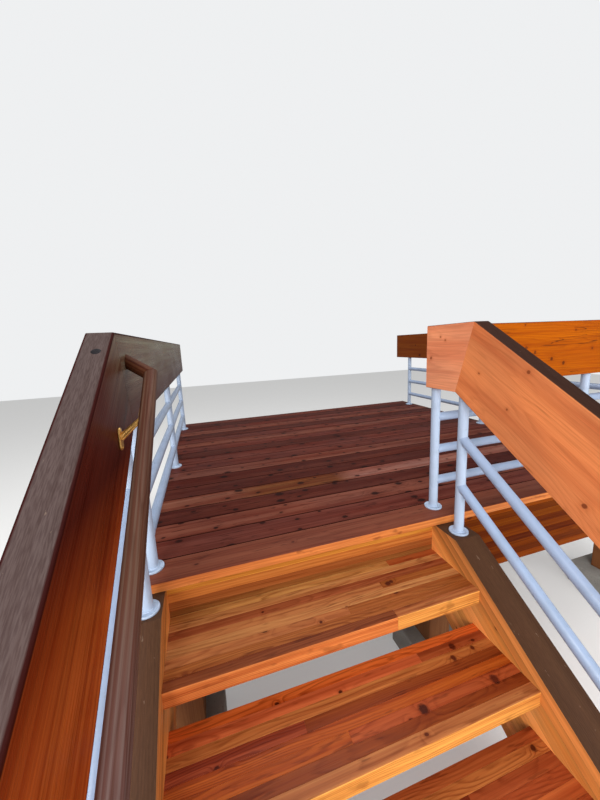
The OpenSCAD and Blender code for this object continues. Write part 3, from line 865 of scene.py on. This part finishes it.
def dark_rail_planes(across):
    """Planes where a left rail's tint changes: the heights and depths of its painted light, the mitre
    and the edges with painted shade.
    """
    reach = RAIL_R + EDGE_SHADE_REACH
    knee = Vector((0, -KNEE_OUT, GUARD_TOP))
    mitre = Vector((0, cos(PITCH / 2), sin(PITCH / 2)))
    planes = [((0, 0, z), Z) for z in DARK_RAIL_ZS] + [((0, y, 0), Y) for y in DARK_RAIL_YS]
    planes += [(knee + mitre * s, mitre) for s in (-reach, reach)]
    planes += [((LEFT_RAIL_X + sign * (RAIL_T / 2 - reach), 0, 0), X) for sign in (-1, 1)]
    return planes + [(knee - across * depth, across) for depth in (reach, RAIL_H - reach)]


def rail_span(middle):
    return middle - RAIL_T / 2, middle + RAIL_T / 2


left_span, right_span, guard_span = rail_span(LEFT_RAIL_X), rail_span(STRINGER_X), rail_span(GUARD_X)
front_span = (right_span[1], guard_span[1])
front_view = oblong(*rail_span(POST_BACK), GUARD_BOTTOM, GUARD_TOP)
guard_view = oblong(POST_BACK + RAIL_T / 2, DECK_DEPTH, GUARD_BOTTOM, GUARD_TOP)
for name, seed, view, span, along, across, tint, material, slot in (
        ("left_stair_rail", 61, stair_rail_view, left_span, UP_SLOPE, OFF_SLOPE, dark_rail_tint_and_light,
         DARK_RAIL_WOOD, "dark_rail_wood"),
        ("left_guard_beam", 62, level_rail_view(DECK_DEPTH), left_span, Y, Z, dark_rail_tint_and_light,
         DARK_RAIL_WOOD, "dark_rail_wood"),
        ("right_stair_rail", 63, stair_rail_view, right_span, UP_SLOPE, OFF_SLOPE, linear("c4774c"),
         PALE_RAIL_WOOD, "pale_rail_wood"),
        ("right_rail_head", 64, level_rail_view(HEAD_L), right_span, Y, Z, linear("d08868"),
         PALE_RAIL_WOOD, "pale_rail_wood"),
        ("front_guard_beam", 65, front_view, front_span, X, Z, linear("a35200"),
         GOLDEN_RAIL_WOOD, "golden_rail_wood"),
        # The right guard beam's darker brown than the front guard's is partly painted shade
        ("right_guard_beam", 66, guard_view, guard_span, Y, Z, linear("70360a"),
         BROWN_RAIL_WOOD, "brown_rail_wood")):
    piece = Piece(name, seed)
    # Left rails: the inner faces' darker red-brown is partly painted shade, and the outer face gets a
    # lighter brown
    dark = span == left_span
    piece.board(view, *span, along=along, across=across, bevel=RAIL_R, segments=RAIL_SEGMENTS,
                end_bevel=JOINT_BEVEL, tint=tint, cuts=dark_rail_planes(across) if dark else (),
                wide_edge=dark, faces_tint=[(-X, linear("6a3a2a"))] if dark else ())
    piece.make(material, slot)

# Dark disc over a bolt hole in the top of the left rail, standing in for the hole's shade: painted shade
HOLE_SHADE_R, HOLE_SHADE_RIM, HOLE_SHADE_TOP = 0.012, 0.0006, 0.0004
HOLE_SHADE_IN, HOLE_SHADE_Y = 0.005, -0.223
piece = Piece("rail_hole_shade", 67)
piece.lathe(Vector((LEFT_RAIL_X + HOLE_SHADE_IN, HOLE_SHADE_Y, rail_top(HOLE_SHADE_Y))), OFF_SLOPE,
            [(HOLE_SHADE_R, -0.002), (HOLE_SHADE_R, 0.0), (HOLE_SHADE_R - HOLE_SHADE_RIM, HOLE_SHADE_TOP), (0.002, HOLE_SHADE_TOP)], 40)
piece.make(HOLE_SHADE)

# Posts and pipes

ROUND = 64
WELD_R = 0.0026
FLANGE_WELD_R = 0.003
# How far the middle of a weld lies outside its post, and inside its pipe
WELD_OUT = 0.0005
WELD_IN = 0.0010
# How far posts go into timber, and pipes into posts
BITE = 0.001
COPE = 0.002
LIP_R = FLANGE_R - FLANGE_BEVEL - 0.003
DISH_Z = FLANGE_T - 0.0010
FLANGE_SCREW_OUT = 0.0325
# Flange with a raised lip and heads of screws, as radius and height
FLANGE_PROFILE = [
    (FLANGE_R - 0.0005, 0), (FLANGE_R, 0.0005), (FLANGE_R, FLANGE_T - FLANGE_BEVEL),
    (FLANGE_R - 0.0008, FLANGE_T - 0.0006), (FLANGE_R - FLANGE_BEVEL, FLANGE_T), (LIP_R, FLANGE_T),
    (LIP_R - 0.0014, DISH_Z), (0.5 * FLANGE_R, DISH_Z)]
FLANGE_SCREW = [(0.0042, -0.001), (0.0042, 0.0003), (0.0034, 0.0010), (0.0016, 0.0013), (0.0012, 0.0006)]
PLATE_SCREW = [(0.0042, -0.001), (0.0042, 0.0003), (0.0030, 0.0012), (0.0014, 0.0016)]


def upright(piece, x, y, foot):
    """Post up to the rail from a foot whose height is given as a function of y."""
    base = circle(Vector((x, y, 0)), X, Y, POST_R, ROUND)
    piece.skin([[Vector((p.x, p.y, foot(p.y) - BITE)) for p in base],
                [Vector((p.x, p.y, rail_under(p.y) + BITE)) for p in base]])


def bead(piece, path, r=WELD_R):
    """Weld bead along a closed path."""
    alongs = [(path[(i + 1) % len(path)] - path[i - 1]).normalized() for i in range(len(path))]
    u = alongs[0].cross(Vector((0.31, 0.53, 0.79))).normalized()
    loops = []
    for p, along in zip(path, alongs):
        u = (u - along * u.dot(along)).normalized()
        loops.append(circle(p, u, along.cross(u), r, 8))
    piece.skin(loops, closed=True)


def flange(piece, x, y, z, slope):
    """Turned base plate with a raised lip, four screws and the weld that joins it to the post."""
    axis = Vector((0, -slope, 1)).normalized()
    origin = Vector((x, y, z))
    piece.lathe(origin, axis, FLANGE_PROFILE, ROUND)
    v = axis.cross(X)
    for i in range(4):
        angle = pi / 4 + i * pi / 2
        way = X * cos(angle) + v * sin(angle)
        piece.lathe(origin + way * FLANGE_SCREW_OUT + axis * DISH_Z, axis, FLANGE_SCREW, 16)
    top = z + FLANGE_T * (1 + slope * slope) ** 0.5
    path = circle(Vector((x, y, 0)), X, Y, POST_R + WELD_OUT, 48)
    bead(piece, [Vector((p.x, p.y, top + (p.y - y) * slope)) for p in path], FLANGE_WELD_R)


def rail_pipe(piece, a, b):
    """Pipe between the axes of two posts, shaped to both, with a weld round each end."""
    run = b - a
    along = run.normalized()
    flat = Vector((run.x, run.y, 0)).normalized()
    side = flat.cross(Z)
    off = along.cross(side)
    share = hypot(along.x, along.y)

    def coped(post, sign, radius, offset):
        points = []
        for p in circle(Vector((0, 0, 0)), side, off, radius, ROUND // 2):
            s = p.dot(side)
            reach = sqrt(max((POST_R + offset) ** 2 - s * s, 0))
            points.append(post + p + along * ((sign * reach - p.dot(flat)) / share))
        return points

    ends = ((a, 1), (b, -1))
    piece.skin([coped(post, sign, PIPE_R, -COPE) for post, sign in ends])
    for post, sign in ends:
        bead(piece, coped(post, sign, PIPE_R - WELD_IN, WELD_OUT))


STEEL = {"posts": PIPE_PAINT, "flanges": PIPE_PAINT, "pipes": RAIL_PIPE_PAINT}


def steelwork(name, places, foot, line, heights, shared=0):
    """Posts, flanges and pipes of one rail. foot gives the height of a post's foot and line the one over
    which the pipes' heights count, both for a y. shared counts first posts that another rail makes."""
    posts, flanges, pipes = steel = [Piece(f"{name}_{kind}") for kind in STEEL]
    for x, y in places[shared:]:
        upright(posts, x, y, foot)
        flange(flanges, x, y, foot(y), SLOPE if y < SEAT_Y else 0.0)
    for ends in zip(places, places[1:]):
        for height in heights:
            rail_pipe(pipes, *(Vector((x, y, line(y) + height)) for x, y in ends))
    for piece, material in zip(steel, STEEL.values()):
        piece.make(material, "pipe_paint")


def deck_line(y):
    return DECK_Z


stair_heights = [STAIR_PIPE_LOW + i * STAIR_PIPE_PITCH for i in range(2)]
guard_heights = [PIPE_LOW + i * PIPE_PITCH for i in range(3)]
for name, x in (("left_stair", LEFT_RAIL_X), ("right_stair", STRINGER_X)):
    steelwork(name, [(x, -POST_FRONT), (x, LOWER_POST_Y)], stringer_top,
              lambda y: FRAME_TOP + (y - SEAT_Y) * SLOPE, stair_heights)
for name, places, shared in (
        ("left_guard", [(LEFT_RAIL_X, y) for y in SIDE_POST_YS], 0),
        ("front_guard", [(x, POST_BACK) for x in FRONT_POST_XS], 0),
        ("right_guard", [(GUARD_X, y) for y in SIDE_POST_YS], 1)):
    steelwork(name, places, deck_line, deck_line, guard_heights, shared)

# Handrail

CORNER_STEPS = 8
CORNER_U, CORNER_V = GRIP_W / 2 - GRIP_R, GRIP_H / 2 - GRIP_R
CORNERS = [(CORNER_U, CORNER_V), (-CORNER_U, CORNER_V), (-CORNER_U, -CORNER_V), (CORNER_U, -CORNER_V)]
# Distances under the corner between which the handrail turns greyer, as a painted reflection
GRIP_FADE = (1.05, 0.60)
# Rounding of its low end, as how far it's drawn in at each distance
GRIP_ROUNDING = [(0, 0.005), (0.0015, 0.0015), (0.005, 0)]


def corner_arc(u, w, r, start):
    """Quarter circle of a section round the point (u, w), from an angle given in quarter turns."""
    return [(u + r * cos(t), w + r * sin(t))
            for t in (pi / 2 * (start + i / CORNER_STEPS) for i in range(CORNER_STEPS + 1))]


grip_section = [p for i, (u, w) in enumerate(CORNERS) for p in corner_arc(u, w, GRIP_R, i)]
grip_corner = Vector((GRIP_X, -GRIP_CORNER, grip_z(-GRIP_CORNER)))
mitre_normal = UP_SLOPE * cos(RETURN_ANGLE / 2) - X * sin(RETURN_ANGLE / 2)


def grip_ring(centre, across, inset=0.0):
    """Section of the handrail round a point, drawn in by inset."""
    scale = 1 - inset / (GRIP_H / 2)
    return [centre + across * u * scale + OFF_SLOPE * w * scale for u, w in grip_section]


def slid(ring, along, point, normal):
    """Ring moved along a direction to a plane."""
    return [p + along * ((point - p).dot(normal) / along.dot(normal)) for p in ring]


def grip_tint_and_sheen(p):
    """Brown, and greyer towards the low end as a painted reflection."""
    return fade("5a453c", "5d4e55", between((grip_corner - p).dot(UP_SLOPE), *GRIP_FADE[::-1]))


piece = Piece("handrail", 71)
low_end = grip_corner - UP_SLOPE * ((-GRIP_CORNER - FOOT_Y - GRIP_END) / cos(PITCH))
rings = [grip_ring(low_end + UP_SLOPE * s, X, inset) for s, inset in GRIP_ROUNDING]
rings += [grip_ring(grip_corner - UP_SLOPE * d, X) for d in GRIP_FADE]
rings.append(slid(grip_ring(grip_corner, X), UP_SLOPE, grip_corner, mitre_normal))
piece.skin(rings, along=UP_SLOPE, tint=grip_tint_and_sheen)
piece.make(GRIP_WOOD, "handrail_wood")

piece = Piece("handrail_return", 72)
return_way = UP_SLOPE * cos(RETURN_ANGLE) - X * sin(RETURN_ANGLE)
return_side = X * cos(RETURN_ANGLE) + UP_SLOPE * sin(RETURN_ANGLE)
ring = grip_ring(grip_corner, return_side)
ends = ((grip_corner, mitre_normal), (Vector((LEFT_FACE, 0, 0)), X))
piece.skin([slid(ring, return_way, *end) for end in ends], along=return_way, across=return_side,
           tint=linear("4e3022"))
piece.make(GRIP_WOOD, "handrail_wood")

# Brackets: an oblong wall plate, an arm with a groove along each side, and a cradle for the handrail

# The plate's rounding, as how far it's drawn in at each height
PLATE_PROFILE = [(0.0006, 0), (0, 0.0006), (0, PLATE_T - 0.002), (0.0008, PLATE_T - 0.0005),
                 (0.0025, PLATE_T), (0.008, PLATE_T)]
PLATE_SCREW_OUT = 0.0225
ARM_STEPS = 12
ARM_SIDES = 36
# Shares of the arm's way where its mesh starts and that it covers
ARM_START, ARM_L = 0.04, 0.90
GROOVE = 0.40
GROOVE_SPREAD = radians(20)
arm_way = Vector((GRIP_OUT, 0, PLATE_DROP))
arm_off = Y.cross(arm_way.normalized())
cradle_end = CRADLE_W - GRIP_W / 2 - CRADLE_T


def cradle_side(r):
    """Inner or outer face of the cradle, round the middle of the handrail's corner."""
    u, w = -CORNER_U, -CORNER_V
    return [(u - r, w)] + corner_arc(u, w, r, 2) + [(cradle_end, w - r)]


def plate_ring(foot, inset, height):
    """Outline of the wall plate, drawn in by inset, at a height over the rail's face."""
    r, reach = PLATE_W / 2 - inset, (PLATE_H - PLATE_W) / 2
    ends = corner_arc(0, reach, r, 0) + corner_arc(0, reach, r, 1)[1:]
    ends += corner_arc(0, -reach, r, 2) + corner_arc(0, -reach, r, 3)[1:]
    return [foot + X * height + Y * p + Z * q for p, q in ends]


def groove_depth(angle):
    """How far the arm's side is drawn in at an angle from its upper edge."""
    off = abs(abs(remainder(angle, 2 * pi)) - pi / 2)
    return GROOVE * exp(-(off / GROOVE_SPREAD) ** 2)


def arm_ring(foot, share):
    """Section of the arm at a share of its way."""
    r = ARM_FOOT_R + (ARM_R - ARM_FOOT_R) * share
    ring = []
    for m in range(ARM_SIDES):
        angle = 2 * pi * m / ARM_SIDES
        way = arm_off * cos(angle) + Y * sin(angle)
        ring.append(foot + arm_way * share + way * (r * (1 - groove_depth(angle))))
    return ring


cradle_section = cradle_side(GRIP_R + CRADLE_T) + cradle_side(GRIP_R)[::-1]
piece = Piece("handrail_brackets")
for i in range(2):
    y = -BRACKET_OUT - i * BRACKET_PITCH
    foot = Vector((LEFT_FACE, y, grip_z(y) - PLATE_DROP))
    piece.skin([plate_ring(foot, inset, height) for inset, height in PLATE_PROFILE])
    for sign in (-1, 1):
        piece.lathe(foot + Z * sign * PLATE_SCREW_OUT + X * PLATE_T, X, PLATE_SCREW, 14)
    piece.skin([arm_ring(foot, ARM_START + ARM_L * k / ARM_STEPS) for k in range(ARM_STEPS + 1)])
    seat = Vector((GRIP_X, y, grip_z(y)))
    piece.skin([[seat + UP_SLOPE * s + X * p + OFF_SLOPE * q for p, q in cradle_section]
                for s in (-CRADLE_L / 2, CRADLE_L / 2)], smooth=False)
piece.make(BRASS, "bracket_brass")

# Stage, light and camera

WORLD_LIGHT = 0.40
BACKDROP = (0.86, 0.87, 0.88, 1.0)
FLOOR = 14.0
FLOOR_COLOUR = (0.78, 0.78, 0.77)
# How much lighter the camera sees the floor
FLOOR_LIFT = 0.22
WHITE = (1.0, 1.0, 1.0, 1.0)
# Each lamp's place, the point it faces, its diameter and its power
LAMPS = {
    "key": ((-3.6, -5.6, 3.8), (-0.5, -0.4, 0.8), 5.0, 420),
    "fill": ((2.2, -6.2, 2.6), (0, 0, 0.8), 5.0, 160),
    "top": ((0.0, 0.7, 5.2), (0.1, 0.5, 0.9), 3.5, 120)}
EYE = (-1.152, -1.9385, 1.747)
YAW, TILT, ROLL = 0.2867, -0.1733, -0.0464
LENS = 14.34

world = bpy.data.worlds.new("studio")
bpy.context.scene.world = world
world.use_nodes = True
tree = world.node_tree
rays = tree.nodes.new("ShaderNodeLightPath")
light = tree.nodes["Background"]
light.inputs["Color"].default_value = WHITE
light.inputs["Strength"].default_value = WORLD_LIGHT
seen = tree.nodes.new("ShaderNodeBackground")
seen.inputs["Color"].default_value = BACKDROP
blend = tree.nodes.new("ShaderNodeMixShader")
shown = (rays.outputs["Is Camera Ray"], light.outputs[0], seen.outputs[0])
for socket, value in zip(blend.inputs, shown):
    tree.links.new(value, socket)
tree.links.new(blend.outputs[0], tree.nodes["World Output"].inputs["Surface"])

floor_mesh = bpy.data.meshes.new("floor")
floor_mesh.from_pydata([(x * FLOOR, y * FLOOR, 0) for x, y in ((-1, -1), (1, -1), (1, 1), (-1, 1))], [],
                       [(0, 1, 2, 3)])
floor = placed("floor", floor_mesh)
g = Graph("floor")
lift = g.times(g.node("ShaderNodeLightPath").outputs["Is Camera Ray"], FLOOR_LIFT)
for key, value in (("Base Color", FLOOR_COLOUR), ("Roughness", 0.9), ("Emission Color", WHITE),
                   ("Emission Strength", lift)):
    g.feed(g.shader.inputs[key], value)
floor_mesh.materials.append(g.material)

for name, (place, target, size, power) in LAMPS.items():
    data = bpy.data.lights.new(name, "AREA")
    data.shape = "DISK"
    data.size = size
    data.energy = power
    lamp = placed(name, data)
    lamp.location = place
    lamp.rotation_euler = (Vector(target) - Vector(place)).to_track_quat("-Z", "Y").to_euler()

ahead = Vector((sin(YAW) * cos(TILT), cos(YAW) * cos(TILT), sin(TILT)))
level_right = Vector((cos(YAW), -sin(YAW), 0))
level_up = level_right.cross(ahead)
right = level_right * cos(ROLL) + level_up * sin(ROLL)
up = level_up * cos(ROLL) - level_right * sin(ROLL)
camera = placed("camera", bpy.data.cameras.new("camera"))
camera.data.lens = LENS
camera.data.sensor_width = 36.0
camera.data.clip_start = 0.02
camera.matrix_world = Matrix.Translation(EYE) @ Matrix((right, up, -ahead)).transposed().to_4x4()
bpy.context.scene.camera = camera
bpy.context.scene.view_settings.view_transform = "Standard"
